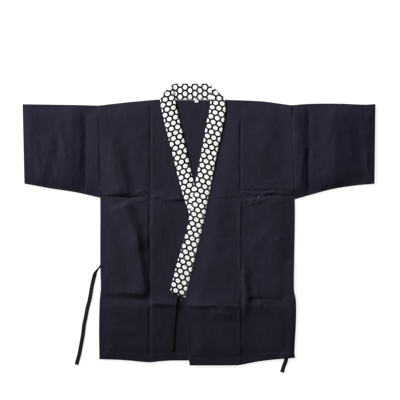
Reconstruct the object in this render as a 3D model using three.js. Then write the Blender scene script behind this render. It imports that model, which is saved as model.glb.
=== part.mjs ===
// A short-sleeved wrap jacket for a sushi chef, laid flat on its back on a table with the front up.
// Millimetres, +Z up, +Y towards the collar, +X towards the wearer's left.
// The left front laps over the right front, and every layer lies on the one below it.
import * as THREE from "three";

// Driving sizes of the garment
const CLOTH = 1.2; // wall of the body, sleeves and ties
const BAND_CLOTH = 1.8; // wall of the collar band, which is several layers
const LABEL_CLOTH = 1.0;
const SEAM_GAP = 0.3; // air between two pieces that are sewn or lie together
const LOFT = 1.5; // how far the air under a laid panel lifts it
const LOFT_MARGIN = 40; // the panel comes down to the layer below over this distance
const HEM_DEPTH = 22;
const HEM_RISE = 0.5; // the turned-up hem is thicker than the cloth
const CUFF_DEPTH = 26;
const BAND_LIFT = 0.6; // the fronts' bands ride up onto the neck's band here
const TIE_WIDTH = 11.8;
const LABEL = { x: -7, top: 357, width: 10, length: 8.5 };

// Nominal heights on the garment of the lines that the grids of the body share
const SHOULDER_Y = 350;
const CHEST_CREASE_Y = 74;
const WAIST_CREASE_Y = -228;
const HEM_Y = -392;

// The outline, as the garment lies. Each row is one station.
const RIGHT_SIDE = [
  { y: -387, x: -286.5 },
  { y: -300, x: -287.5 },
  { y: -217, x: -285.5 },
  { y: -185, x: -282.5 },
  { y: -105, x: -284 },
  { y: 76, x: -284 },
  { y: 342, x: -288 },
];
const LEFT_SIDE = [
  { y: -383, x: 276.5 },
  { y: -368, x: 274.5 },
  { y: -275, x: 279 },
  { y: -217, x: 278.5 },
  { y: -190, x: 273.5 },
  { y: -130, x: 273.5 },
  { y: 72, x: 275.5 },
  { y: 343, x: 264 },
];
const RIGHT_SHOULDER = [
  { x: -288, y: 342 },
  { x: -198, y: 352 },
  { x: -109, y: 360 },
];
const LEFT_SHOULDER = [
  { x: 75, y: 358.5 },
  { x: 181, y: 354 },
  { x: 235, y: 347 },
  { x: 264, y: 343 },
];
const RIGHT_HEM = [
  { x: -286.5, y: -387 },
  { x: -212, y: -390 },
  { x: -141, y: -396 },
  { x: -98, y: -391.5 },
  { x: 30, y: -391 },
];
const LEFT_HEM = [
  { x: -28, y: -404.8 },
  { x: 50, y: -404.8 },
  { x: 110, y: -404.4 },
  { x: 124, y: -402.6 },
  { x: 160, y: -395.3 },
  { x: 204, y: -389.5 },
  { x: 276.5, y: -383 },
];
const BACK_HEM = [
  { x: -286.5, y: -385 },
  { x: -141, y: -394 },
  { x: -28, y: -389 },
  { x: 120, y: -401 },
  { x: 204, y: -387.5 },
  { x: 276.5, y: -381.5 },
];
// Where each front is sewn to its band, and below the band's end its free front edge
const RIGHT_FRONT_EDGE = [
  { y: -391, x: 28 },
  { y: -200, x: 28 },
  { y: -116, x: 11 },
  { y: -33, x: -11 },
  { y: 40, x: -31 },
  { y: 95, x: -49 },
  { y: 153, x: -64 },
  { y: 213, x: -78.5 },
  { y: 270, x: -93 },
  { y: 325, x: -106 },
  { y: 360, x: -112 },
];
const LEFT_FRONT_EDGE = [
  { y: -405, x: -27.5 },
  { y: -346, x: -34 },
  { y: -274, x: -37.5 },
  { y: -205, x: -37.5 },
  { y: -171, x: -30 },
  { y: -114, x: -16 },
  { y: -59, x: -2.5 },
  { y: 7, x: 13.5 },
  { y: 73, x: 25.5 },
  { y: 118, x: 35.5 },
  { y: 195, x: 50 },
  { y: 252, x: 63 },
  { y: 307, x: 74 },
  { y: 333, x: 76.3 },
  { y: 358.5, x: 75.5 },
];
// The bands' free edges, on the side away from the seam
const RIGHT_BAND_FREE = [
  { y: -200, x: 72 },
  { y: -116, x: 54 },
  { y: -33, x: 32 },
  { y: 40, x: 12 },
  { y: 95, x: -6.5 },
  { y: 129, x: -17 },
  { y: 208, x: -34.5 },
  { y: 292, x: -54 },
  { y: 338, x: -65 },
  { y: 358, x: -69 },
];
const LEFT_BAND_FREE = [
  { y: -195, x: -83 },
  { y: -116, x: -64 },
  { y: -61, x: -47.5 },
  { y: -9, x: -33.5 },
  { y: 70, x: -19.5 },
  { y: 129, x: -9 },
  { y: 184, x: 2.5 },
  { y: 241, x: 13 },
  { y: 303, x: 24 },
  { y: 329, x: 30.5 },
  { y: 357, x: 33.5 },
];
// The band folds under itself at each shoulder. Each row is one section of the leg there, from the neck line
// to the fold's tip: the point on the fold and the point on the free edge.
const RIGHT_BAND_FOLD = [
  { foldX: -111.5, foldY: 362, freeX: -70, freeY: 364 },
  { foldX: -101.5, foldY: 378, freeX: -72.5, freeY: 378 },
  { foldX: -90, foldY: 388.5, freeX: -75.5, freeY: 390 },
  { foldX: -79.5, foldY: 399, freeX: -77.5, freeY: 398.5 },
];
const LEFT_BAND_FOLD = [
  { foldX: 74.5, foldY: 362, freeX: 34.2, freeY: 364 },
  { foldX: 62.5, foldY: 374, freeX: 35.5, freeY: 376 },
  { foldX: 48, foldY: 387.5, freeX: 36.5, freeY: 389 },
  { foldX: 39.5, foldY: 400, freeX: 37.4, freeY: 399.5 },
];
// The stretch behind the neck: its seam with the back, and the edge that stands up past it
const NECK_BAND = [
  { x: -111, low: 358.6, high: 360.5 },
  { x: -101, low: 358.2, high: 378 },
  { x: -90, low: 358, high: 388 },
  { x: -79, low: 358, high: 399.5 },
  { x: -72, low: 358, high: 404.3 },
  { x: -45, low: 358, high: 404.8 },
  { x: -5, low: 358, high: 404.8 },
  { x: 24, low: 358, high: 404.6 },
  { x: 38, low: 358, high: 401.5 },
  { x: 48, low: 358, high: 387 },
  { x: 62, low: 358, high: 373.5 },
  { x: 74, low: 358.8, high: 361 },
];
const RIGHT_SLEEVE = {
  top: [
    { x: -506.5, y: 345.7 },
    { x: -427, y: 344.6 },
    { x: -341, y: 343.2 },
    { x: -288, y: 341.6 },
  ],
  bottom: [
    { x: -501.4, y: 117 },
    { x: -479, y: 113 },
    { x: -428, y: 103.5 },
    { x: -359, y: 93 },
    { x: -284, y: 76.5 },
  ],
  cuffTop: -506.5,
  cuffBottom: -501.4,
  stations: [0, 0.08, 0.15, 0.19, 0.23, 0.35, 0.47, 0.6, 0.73, 0.87, 0.89, 1],
};
const LEFT_SLEEVE = {
  top: [
    { x: 264, y: 342.6 },
    { x: 319, y: 346.8 },
    { x: 405, y: 347.2 },
    { x: 476, y: 344.5 },
    { x: 506.5, y: 346.3 },
  ],
  bottom: [
    { x: 275.5, y: 72 },
    { x: 319, y: 84.5 },
    { x: 382, y: 101 },
    { x: 448, y: 111.5 },
    { x: 504, y: 116.5 },
  ],
  cuffTop: 506.5,
  cuffBottom: 504,
  stations: [0, 0.08, 0.14, 0.18, 0.215, 0.35, 0.47, 0.6, 0.73, 0.87, 0.89, 1],
};

// Sharp creases left by the pack's folds: a ridge stands up and a trough goes down, and each has its own reach
// on the two sides of its line. plus is the side of +X on an upright crease and of +Y on a level one.
const CREASES = [
  { x1: -142, y1: 352, x2: -142, y2: 80, rise: -1.4, minus: 12, plus: 9 },
  { x1: -142, y1: 80, x2: -142, y2: -200, rise: -2, minus: 16, plus: 10 },
  { x1: -142, y1: -200, x2: -142, y2: -396, rise: -2, minus: 14, plus: 14 },
  { x1: -284, y1: 80, x2: -150, y2: 78, rise: -1.2, minus: 12, plus: 14 },
  { x1: -128, y1: 78, x2: -24, y2: 70, rise: 2.2, minus: 30, plus: 12 },
  { x1: -262, y1: -213, x2: -150, y2: -216, rise: -2.2, minus: 9, plus: 20 },
  { x1: -140, y1: -228, x2: -40, y2: -230, rise: 2.4, minus: 36, plus: 12 },
  { x1: 119, y1: 352, x2: 118, y2: 90, rise: -1.4, minus: 14, plus: 10 },
  { x1: 118, y1: 90, x2: 117, y2: -220, rise: -1.6, minus: 14, plus: 8 },
  { x1: 117, y1: -220, x2: 117, y2: -402, rise: -2, minus: 16, plus: 12 },
  { x1: 20, y1: 73, x2: 105, y2: 74, rise: -1.2, minus: 12, plus: 16 },
  { x1: 122, y1: 86, x2: 275, y2: 82, rise: -2.4, minus: 9, plus: 18 },
  { x1: -36, y1: -230, x2: 117, y2: -234, rise: 2.6, minus: 38, plus: 10 },
  { x1: 146, y1: -214, x2: 278, y2: -214, rise: -2.3, minus: 9, plus: 18 },
  { x1: -325.5, y1: 345, x2: -326, y2: 85, rise: -2.4, minus: 32, plus: 9 },
  { x1: 314.5, y1: 347, x2: 314.5, y2: 82, rise: -2.4, minus: 38, plus: 9 },
];
// Soft folds and swells, with the same columns. They fade out towards the edges of a piece.
const FOLDS = [
  { x1: -262, y1: 272, x2: -196, y2: 76, rise: 2.6, minus: 60, plus: 30 },
  { x1: -216, y1: 74, x2: -164, y2: -80, rise: 2.4, minus: 56, plus: 28 },
  { x1: -174, y1: -36, x2: -156, y2: -186, rise: 2, minus: 46, plus: 18 },
  { x1: -410, y1: 240, x2: -447, y2: 124, rise: 1.6, minus: 20, plus: 16 },
  { x1: -376, y1: 230, x2: -378, y2: 130, rise: 1.2, minus: 26, plus: 20 },
  { x1: 392, y1: 330, x2: 388, y2: 120, rise: 2, minus: 60, plus: 90 },
  { x1: 130, y1: -130, x2: 132, y2: -272, rise: 2.2, minus: 10, plus: 26 },
  { x1: 225, y1: 0, x2: 150, y2: -60, rise: 1, minus: 30, plus: 30 },
  { x1: 60, y1: -300, x2: 110, y2: -350, rise: 1, minus: 24, plus: 24 },
  { x1: -240, y1: -300, x2: -190, y2: -310, rise: 0.9, minus: 20, plus: 20 },
  { x1: 200, y1: 300, x2: 180, y2: 150, rise: 1.2, minus: 60, plus: 60 },
  { x1: -220, y1: 320, x2: -170, y2: 260, rise: 1, minus: 40, plus: 40 },
];
const FOLD_MARGIN = 24;
const MOST_AIR = 3.3; // the tallest fold holds the cloth this far above the layer below

const clamp01 = (t) => Math.min(1, Math.max(0, t));
const smooth = (t) => clamp01(t) ** 2 * (3 - 2 * clamp01(t));
const mix = (a, b, t) => a + (b - a) * t;

// A smooth curve through a table's rows: the value of one column where another column has the value at.
function along(table, at, key, column) {
  const last = table.length - 1;
  let i = 0;
  while (i < last - 1 && at > table[i + 1][key]) i++;
  const slope = (j) => {
    const a = table[Math.max(j - 1, 0)];
    const b = table[Math.min(j + 1, last)];
    return (b[column] - a[column]) / (b[key] - a[key]);
  };
  const span = table[i + 1][key] - table[i][key];
  const t = (at - table[i][key]) / span;
  if (t < 0) return table[i][column] + t * span * slope(i);
  if (t > 1) return table[i + 1][column] + (t - 1) * span * slope(i + 1);
  return (
    (1 + 2 * t) * (1 - t) ** 2 * table[i][column] +
    t * (1 - t) ** 2 * span * slope(i) +
    t * t * (3 - 2 * t) * table[i + 1][column] +
    t * t * (t - 1) * span * slope(i + 1)
  );
}

// Distance from a fold's line, positive on its plus side, and how strong the fold is at that place along it.
function foldAt(fold, x, y) {
  const length = Math.hypot(fold.x2 - fold.x1, fold.y2 - fold.y1);
  const dx = (fold.x2 - fold.x1) / length;
  const dy = (fold.y2 - fold.y1) / length;
  const t = ((x - fold.x1) * dx + (y - fold.y1) * dy) / length;
  const upright = Math.abs(dy) > Math.abs(dx);
  const side = upright ? Math.sign(-dy) : Math.sign(dx);
  return {
    distance: side * (dx * (y - fold.y1) - dy * (x - fold.x1)),
    strength: smooth((t + 0.06) / 0.12) * smooth((1.06 - t) / 0.12),
  };
}

// How far the air and the folds hold the cloth above the layer that it lies on.
function drape(x, y, edgeDistance) {
  let height = LOFT * smooth(edgeDistance / LOFT_MARGIN);
  for (const crease of CREASES) {
    const { distance, strength } = foldAt(crease, x, y);
    const reach = distance > 0 ? crease.plus : crease.minus;
    height += crease.rise * strength * clamp01(1 - Math.abs(distance) / reach) ** 2;
  }
  const fade = smooth(edgeDistance / FOLD_MARGIN);
  for (const fold of FOLDS) {
    const { distance, strength } = foldAt(fold, x, y);
    const reach = distance > 0 ? fold.plus : fold.minus;
    const slopes = 0.5 + 0.5 * Math.cos(Math.PI * clamp01(Math.abs(distance) / reach));
    height += fold.rise * strength * fade * slopes;
  }
  return Math.min(MOST_AIR, Math.max(0, height));
}

// The armhole is no edge to the drape, as the cloth goes on into the sleeve there.
const UNDER_ARM_Y = 76;
function fromSide(distance, y) {
  return distance + LOFT_MARGIN * smooth((y - UNDER_ARM_Y) / 45);
}

// The underside of a piece of the left side that laps over the right front and the right band
const RIGHT_LAYER_TOP = CLOTH + SEAM_GAP + BAND_CLOTH;
function overlapRest(x, y) {
  const past = x - (along(RIGHT_BAND_FREE, Math.max(y, -200), "y", "x") + 4);
  return mix(RIGHT_LAYER_TOP, CLOTH, smooth(past / 40)) + SEAM_GAP;
}

// The hidden tie of the left side runs between the back and the left front and shows past the hem.
const INNER_TIE_ROUTE = [
  { x: 266.5, y: -120 },
  { x: 265, y: -160 },
  { x: 263.5, y: -210 },
  { x: 261, y: -270 },
  { x: 256.5, y: -330 },
  { x: 252, y: -372 },
  { x: 249.5, y: -391 },
  { x: 244.5, y: -404 },
  { x: 238.5, y: -425 },
];
function innerTieRest(x, y) {
  const route = INNER_TIE_ROUTE;
  let near = Infinity;
  for (let i = 0; i < route.length - 1; i++) {
    const dx = route[i + 1].x - route[i].x;
    const dy = route[i + 1].y - route[i].y;
    const t = clamp01(((x - route[i].x) * dx + (y - route[i].y) * dy) / (dx * dx + dy * dy));
    near = Math.min(near, Math.hypot(x - route[i].x - t * dx, y - route[i].y - t * dy));
  }
  return (CLOTH + 3 * SEAM_GAP) * (1 - smooth((near - TIE_WIDTH) / 14));
}

// A closed wall between an outer and an inner grid of points, which have the same rows and columns.
// In a tube the last column joins the first.
function wallGeometry(outer, inner, isTube = false) {
  const rows = outer.length;
  const columns = outer[0].length;
  const positions = [...outer.flat(2), ...inner.flat(2)];
  const innerStart = rows * columns;
  const indices = [];
  const quad = (a, b, c, d) => indices.push(a, b, c, a, c, d);
  const at = (r, c) => r * columns + (c % columns);
  const columnSteps = isTube ? columns : columns - 1;
  for (let r = 0; r < rows - 1; r++) {
    for (let c = 0; c < columnSteps; c++) {
      const corners = [at(r, c), at(r, c + 1), at(r + 1, c + 1), at(r + 1, c)];
      quad(...corners);
      quad(...corners.map((i) => i + innerStart).reverse());
    }
  }
  const rim = (a, b) => quad(b, a, a + innerStart, b + innerStart);
  for (let c = 0; c < columnSteps; c++) {
    rim(at(0, c), at(0, c + 1));
    rim(at(rows - 1, c + 1), at(rows - 1, c));
  }
  for (let r = 0; r < rows - 1 && !isTube; r++) {
    rim(at(r + 1, 0), at(r, 0));
    rim(at(r, columns - 1), at(r + 1, columns - 1));
  }
  const geometry = new THREE.BufferGeometry();
  geometry.setAttribute("position", new THREE.Float32BufferAttribute(positions, 3));
  geometry.setIndex(indices);
  geometry.computeVertexNormals();
  return geometry;
}

// A wall of cloth lying on its side: a grid of places with the height of its underside and its thickness.
function layerGeometry(grid) {
  const top = grid.map((row) => row.map((p) => [p.x, p.y, p.low + p.thick]));
  const bottom = grid.map((row) => row.map((p) => [p.x, p.y, p.low]));
  return wallGeometry(top, bottom);
}

// The grid of a body panel. Its rows keep their height on the garment between the two level creases, and
// spread to the shoulder above them and to the hem below them. columnsAt gives the row's x from edge to edge.
function panelGrid({ rows, columnsAt, shoulder, hem, place }) {
  const spread = (x, y) => {
    if (y > CHEST_CREASE_Y) {
      const share = (y - CHEST_CREASE_Y) / (SHOULDER_Y - CHEST_CREASE_Y);
      return mix(CHEST_CREASE_Y, shoulder(x), share);
    }
    if (y < WAIST_CREASE_Y) {
      const share = (WAIST_CREASE_Y - y) / (WAIST_CREASE_Y - HEM_Y);
      return mix(WAIST_CREASE_Y, hem(x), share);
    }
    return y;
  };
  return rows.map((nominal) =>
    columnsAt(nominal).map((x, column) => {
      const y = spread(x, nominal);
      const placed = columnsAt(y)[column];
      return place(placed, spread(placed, nominal), nominal);
    }),
  );
}

const BODY_ROWS = [
  HEM_Y, HEM_Y + HEM_DEPTH - 2, HEM_Y + HEM_DEPTH, -346, -318, -290, -266, -250, -238,
  WAIST_CREASE_Y, -221, -216, -207, -188, -160, -130, -100, -70, -40, -10, 16, 38, 54, 66,
  CHEST_CREASE_Y, 80, 84, 92, 108, 136, 166, 196, 226, 256, 288, 320, SHOULDER_Y,
];
// Each part of a row between two named lines has its own columns, as shares of that part.
const spreadColumns = (from, to, shares) => shares.map((s) => mix(from, to, s));

function hemRise(nominalY) {
  return nominalY <= HEM_Y + HEM_DEPTH - 2 ? HEM_RISE : 0;
}

// The left front laps over the right one. Its band is sewn along the slanting edge, and below the band's end
// the front edge is free.
function leftFrontGeometry() {
  const creaseX = 118;
  const columnsAt = (y) => {
    const edge = along(LEFT_FRONT_EDGE, y, "y", "x") + 1.5 * SEAM_GAP;
    const side = along(LEFT_SIDE, y, "y", "x");
    return [
      ...spreadColumns(edge, creaseX, [0, 0.2, 0.42, 0.62, 0.78, 0.9]),
      ...spreadColumns(creaseX, side, [0, 0.07, 0.2, 0.36, 0.52, 0.68, 0.8, 0.89, 1]),
    ];
  };
  return layerGeometry(
    panelGrid({
      rows: BODY_ROWS,
      columnsAt,
      shoulder: (x) => along(LEFT_SHOULDER, x, "x", "y"),
      hem: (x) => along(LEFT_HEM, x, "x", "y"),
      place: (x, y, nominal) => {
        const edges = columnsAt(y);
        const side = fromSide(edges.at(-1) - x, y);
        const inward = Math.min(x - edges[0], side, y - HEM_Y, SHOULDER_Y + 10 - y);
        const rest = Math.max(overlapRest(x, y), CLOTH + SEAM_GAP + innerTieRest(x, y));
        const low = Math.max(rest, Math.min(rest + drape(x, y, inward), CLOTH + SEAM_GAP + MOST_AIR));
        return { x, y, low, thick: CLOTH + hemRise(nominal) };
      },
    }),
  );
}

// The right front's underside. It lies flat where the left front or the left band covers it.
function rightFrontRest(x, y) {
  const covered = Math.min(leftCoversFrom(y), along(RIGHT_FRONT_EDGE, y, "y", "x"));
  const side = along(RIGHT_SIDE, y, "y", "x");
  const inward = Math.min(fromSide(x - side, y), covered - x, y - HEM_Y, SHOULDER_Y + 10 - y);
  const lift = x < covered ? drape(x, y, inward) * smooth((covered - x) / 12) : 0;
  return CLOTH + SEAM_GAP + lift;
}
// The right front runs on under the left one as far as its own front edge.
function rightFrontGeometry() {
  const creaseX = -141.5;
  const columnsAt = (y) => {
    const side = along(RIGHT_SIDE, y, "y", "x");
    const edge = along(RIGHT_FRONT_EDGE, y, "y", "x") - 2 * SEAM_GAP;
    return [
      ...spreadColumns(side, creaseX, [0, 0.12, 0.24, 0.36, 0.48, 0.6, 0.71, 0.82, 0.92]),
      ...spreadColumns(creaseX, edge, [0, 0.1, 0.28, 0.46, 0.64, 0.82, 1]),
    ];
  };
  return layerGeometry(
    panelGrid({
      rows: BODY_ROWS,
      columnsAt,
      shoulder: (x) => along(RIGHT_SHOULDER, x, "x", "y"),
      hem: (x) => along(RIGHT_HEM, x, "x", "y"),
      place: (x, y, nominal) => {
        const rise = x < leftCoversFrom(y) - 12 ? hemRise(nominal) : 0;
        return { x, y, low: rightFrontRest(x, y), thick: CLOTH + rise };
      },
    }),
  );
}
// Left of this line the right front shows. The left band covers it down to the band's end, and the left
// front's own edge below that.
function leftCoversFrom(y) {
  const band = along(LEFT_BAND_FREE, Math.max(y, -195), "y", "x") - 3;
  const front = along(LEFT_FRONT_EDGE, y, "y", "x") - 3;
  return mix(front, band, smooth((y + 235) / 30));
}

// The back is one plain panel under both fronts, and its underside rests on the table.
function backGeometry() {
  const columnsAt = (y) => {
    const right = along(RIGHT_SIDE, y, "y", "x") + 0.1;
    const left = along(LEFT_SIDE, y, "y", "x") - 0.1;
    return [
      ...spreadColumns(right, -109, [0, 0.25, 0.5, 0.75]),
      ...spreadColumns(-109, 75, [0, 0.25, 0.5, 0.75, 1]),
      ...spreadColumns(75, left, [0.25, 0.5, 0.75, 1]),
    ];
  };
  const neckline = NECK_BAND[0].low - 2 * SEAM_GAP - 0.6;
  const shoulder = (x) => {
    if (x < -110) return along(RIGHT_SHOULDER, x, "x", "y") - 0.5;
    if (x > 76) return along(LEFT_SHOULDER, x, "x", "y") - 0.5;
    return neckline;
  };
  return layerGeometry(
    panelGrid({
      rows: BODY_ROWS.filter((_, i) => i % 4 === 0 || i === BODY_ROWS.length - 1),
      columnsAt,
      shoulder,
      hem: (x) => along(BACK_HEM, x, "x", "y"),
      place: (x, y) => ({ x, y, low: 0, thick: CLOTH }),
    }),
  );
}

// A sleeve is a tube pressed flat: its lower layer rests on the table and its upper layer lies on that.
// It is open at the cuff and at the armhole.
function sleeveGeometry(sleeve, side) {
  const edgeRadius = CLOTH + SEAM_GAP;
  const across = [0, 0.06, 0.14, 0.24, 0.36, 0.5, 0.64, 0.76, 0.86, 0.94, 1];
  const ring = (station, isInner) => {
    const inset = isInner ? CLOTH : 0;
    const radius = edgeRadius - inset;
    const direction = Math.sign(sleeve.cuffTop);
    const armhole = (y) => along(side, y, "y", "x") + direction * SEAM_GAP;
    const cuff = (y) => mix(sleeve.cuffBottom, sleeve.cuffTop, (y - 117) / 229);
    const xAt = (y) => mix(armhole(y), cuff(y), station);
    const top = along(sleeve.top, xAt(345), "x", "y") - edgeRadius;
    const bottom = along(sleeve.bottom, xAt(95), "x", "y") + edgeRadius;
    const turn = (y, from) =>
      [0.25, 0.5, 0.75].map((share) => {
        const angle = from + Math.PI * share;
        const edgeY = y + radius * Math.cos(angle);
        return [xAt(edgeY), edgeY, edgeRadius + radius * Math.sin(angle)];
      });
    const under = across.map((share) => {
      const y = mix(bottom, top, share);
      return [xAt(y), y, inset];
    });
    const over = across.map((share) => {
      const y = mix(top, bottom, share);
      const cuffDistance = (1 - station) * Math.abs(cuff(y) - armhole(y));
      const inward = Math.min(y - bottom, top - y, cuffDistance + 12) + 4;
      const rise = cuffDistance < CUFF_DEPTH && !isInner ? HEM_RISE : 0;
      return [xAt(y), y, 2 * edgeRadius - inset + rise + drape(xAt(y), y, inward)];
    });
    return [...under, ...turn(top, -Math.PI / 2), ...over, ...turn(bottom, Math.PI / 2)];
  };
  const wound = (points) => (sleeve.cuffTop > 0 ? points : points.reverse());
  const rings = (isInner) => sleeve.stations.map((station) => wound(ring(station, isInner)));
  return wallGeometry(rings(false), rings(true), true);
}

// One stretch of the collar band down a front: sections from the fold at the shoulder to the band's end.
// seam and free are its two edges, and rest gives the height of what it lies on.
function frontBandGeometry({ seam, free, fold, lastY, endSlant, sections, rest }) {
  const across = [0, 0.25, 0.5, 0.75, 1];
  const section = (seamX, seamY, freeX, freeY) =>
    across.map((share) => {
      const x = mix(seamX, freeX, share);
      const y = mix(seamY, freeY, share);
      return { x, y, low: rest(x, y), thick: BAND_CLOTH };
    });
  const grid = [...fold].reverse().map((f) => section(f.foldX, f.foldY, f.freeX, f.freeY));
  const firstY = 352;
  for (let i = 0; i < sections; i++) {
    const t = i / (sections - 1);
    const seamY = mix(firstY, lastY, t);
    const freeY = seamY + endSlant * t;
    grid.push(section(along(seam, seamY, "y", "x"), seamY, along(free, freeY, "y", "x"), freeY));
  }
  const fromLeftToRight = grid[5][0].x < grid[5][4].x;
  return layerGeometry(fromLeftToRight ? grid.reverse() : grid.map((row) => row.reverse()).reverse());
}
const onNeckBand = (y) => BAND_LIFT * smooth((y - 325) / 25);

function rightBandGeometry() {
  return frontBandGeometry({
    seam: RIGHT_FRONT_EDGE,
    free: RIGHT_BAND_FREE,
    fold: RIGHT_BAND_FOLD,
    lastY: -200,
    endSlant: 10,
    sections: 26,
    rest: (x, y) => CLOTH + SEAM_GAP + onNeckBand(y),
  });
}

function leftBandGeometry() {
  return frontBandGeometry({
    seam: LEFT_FRONT_EDGE,
    free: LEFT_BAND_FREE,
    fold: LEFT_BAND_FOLD,
    lastY: -210,
    endSlant: 15,
    sections: 34,
    rest: (x, y) => Math.max(overlapRest(x, y) + onNeckBand(y), frontUnderBand(x, y)),
  });
}
// Past the crossing the left band lies on the right front, which its own loft lifts a little.
function frontUnderBand(x, y) {
  const covered = leftCoversFrom(y);
  const lift = drape(covered - 12, y, 12);
  return 2 * (CLOTH + SEAM_GAP) + lift * smooth((covered + 3 - x) / 6);
}

function neckBandGeometry() {
  const across = [0, 0.33, 0.67, 1];
  const rows = across.map((share) =>
    NECK_BAND.map((s) => ({ x: s.x, y: mix(s.low, s.high, share), low: 0, thick: BAND_CLOTH })),
  );
  return layerGeometry(rows);
}

// A tie is a flat tape: rounded sections along its route, turned on edge by twist degrees where it is,
// and pinched to a share of its width.
function tieGeometry(route) {
  const points = route.map((p) => new THREE.Vector3(p.x, p.y, p.z));
  const corner = CLOTH / 2;
  const rings = points.map((point, i) => {
    const before = points[Math.max(i - 1, 0)];
    const after = points[Math.min(i + 1, points.length - 1)];
    const forward = after.clone().sub(before).normalize();
    const flat = new THREE.Vector3(forward.y, -forward.x, 0).normalize();
    const across = flat.applyAxisAngle(forward, THREE.MathUtils.degToRad(route[i].twist ?? 0));
    const up = new THREE.Vector3().crossVectors(across, forward);
    const half = (TIE_WIDTH / 2) * (route[i].pinch ?? 1);
    const outline = [
      [half, 0], [half - corner * 0.3, corner * 0.7], [half - corner, corner], [corner - half, corner],
      [corner * 0.3 - half, corner * 0.7], [-half, 0], [corner - half, -corner], [half - corner, -corner],
    ];
    return outline.map(([a, b]) =>
      point.clone().addScaledVector(across, a).addScaledVector(up, b).toArray(),
    );
  });
  return sweptGeometry(rings);
}

// Closed rings joined along their length, with a flat cap on each end.
function sweptGeometry(rings) {
  const count = rings[0].length;
  const indices = [];
  for (let r = 0; r < rings.length - 1; r++) {
    for (let c = 0; c < count; c++) {
      const [a, b] = [r * count + c, r * count + ((c + 1) % count)];
      indices.push(a, b + count, b, a, a + count, b + count);
    }
  }
  const lastRing = (rings.length - 1) * count;
  for (let c = 1; c < count - 1; c++) {
    indices.push(0, c, c + 1);
    indices.push(lastRing, lastRing + c + 1, lastRing + c);
  }
  const geometry = new THREE.BufferGeometry();
  geometry.setAttribute("position", new THREE.Float32BufferAttribute(rings.flat(2), 3));
  geometry.setIndex(indices);
  geometry.computeVertexNormals();
  return geometry;
}

// The tie of the right side seam lies on the table beside the garment. It leaves the seam pinched and on edge.
const ON_TABLE = CLOTH / 2 + 0.1;
const SIDE_TIE_ROUTE = [
  { x: -285.5, y: -119.5, z: 2.4, twist: 52, pinch: 0.45 },
  { x: -288.5, y: -125.5, z: 2.7, twist: 50, pinch: 0.5 },
  { x: -293, y: -132.5, z: 3.0, twist: 42, pinch: 0.66 },
  { x: -297.6, y: -140.5, z: 2.8, twist: 28, pinch: 0.88 },
  { x: -301, y: -150, z: 1.8, twist: 12 },
  { x: -303.6, y: -166, z: ON_TABLE },
  { x: -307.8, y: -186, z: ON_TABLE },
  { x: -313.5, y: -213, z: ON_TABLE },
  { x: -320, y: -238.5, z: ON_TABLE },
  { x: -325.5, y: -267, z: ON_TABLE },
  { x: -330, y: -288.5, z: ON_TABLE },
  { x: -332.6, y: -310, z: ON_TABLE },
  { x: -336, y: -331.6, z: ON_TABLE },
  { x: -339.8, y: -353, z: ON_TABLE },
  { x: -344.4, y: -374.7, z: ON_TABLE },
  { x: -350, y: -396, z: ON_TABLE },
  { x: -352, y: -403, z: ON_TABLE },
];
// The tie on the left band's end lies on the right front.
const BAND_TIE_ROUTE = [
  { x: -64.6, y: -205 },
  { x: -66, y: -212 },
  { x: -67.6, y: -221 },
  { x: -68.6, y: -230 },
  { x: -69.4, y: -240 },
  { x: -70, y: -252 },
  { x: -70.6, y: -266 },
  { x: -71.4, y: -279 },
  { x: -73.8, y: -292 },
  { x: -75, y: -306 },
  { x: -76, y: -320 },
  { x: -76.8, y: -336 },
  { x: -77.4, y: -352 },
  { x: -77.8, y: -364 },
];
function onRightFront(p) {
  const under = [-1, 0, 1].map((side) => rightFrontRest(p.x + (side * TIE_WIDTH) / 2, p.y));
  return { ...p, z: Math.max(...under) + CLOTH + SEAM_GAP + 0.2 + CLOTH / 2 };
}
// The tie of the left side seam lies on the back, under the left front, and drops to the table past the hem.
const innerTieZ = (y) => mix(ON_TABLE, CLOTH + SEAM_GAP + CLOTH / 2, smooth((y + 408) / 12));

const cloth = (color, roughness) => new THREE.MeshStandardMaterial({ color, roughness, metalness: 0 });
const NAVY = cloth(0x24242f, 0.9);
const PRINT = cloth(0xd8d8d8, 0.85);
const TAPE = cloth(0x1b1b1b, 0.9);
const WHITE = cloth(0xeeeeee, 0.85);

function labelGeometry() {
  const rows = [LABEL.top - LABEL.length, LABEL.top].map((y) =>
    [LABEL.x - LABEL.width / 2, LABEL.x + LABEL.width / 2].map((x) => ({
      x,
      y,
      low: CLOTH + SEAM_GAP,
      thick: LABEL_CLOTH,
    })),
  );
  return layerGeometry(rows);
}

const jacket = new THREE.Group();
function add(name, geometry, material) {
  const mesh = new THREE.Mesh(geometry, material);
  mesh.name = name;
  jacket.add(mesh);
}
add("back", backGeometry(), NAVY);
add("front_right", rightFrontGeometry(), NAVY);
add("front_left", leftFrontGeometry(), NAVY);
add("sleeve_right", sleeveGeometry(RIGHT_SLEEVE, RIGHT_SIDE), NAVY);
add("sleeve_left", sleeveGeometry(LEFT_SLEEVE, LEFT_SIDE), NAVY);
add("collar_band_right", rightBandGeometry(), PRINT);
add("collar_band_left", leftBandGeometry(), PRINT);
add("collar_band_neck", neckBandGeometry(), PRINT);
add("neck_label", labelGeometry(), WHITE);
add("tie_side_right", tieGeometry(SIDE_TIE_ROUTE), TAPE);
add("tie_band_left", tieGeometry(BAND_TIE_ROUTE.map(onRightFront)), TAPE);
add("tie_side_left", tieGeometry(INNER_TIE_ROUTE.map((p) => ({ ...p, z: innerTieZ(p.y) }))), TAPE);
export default jacket;
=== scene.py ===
import bpy, bmesh, math
from mathutils import Matrix, Vector, noise


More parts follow.
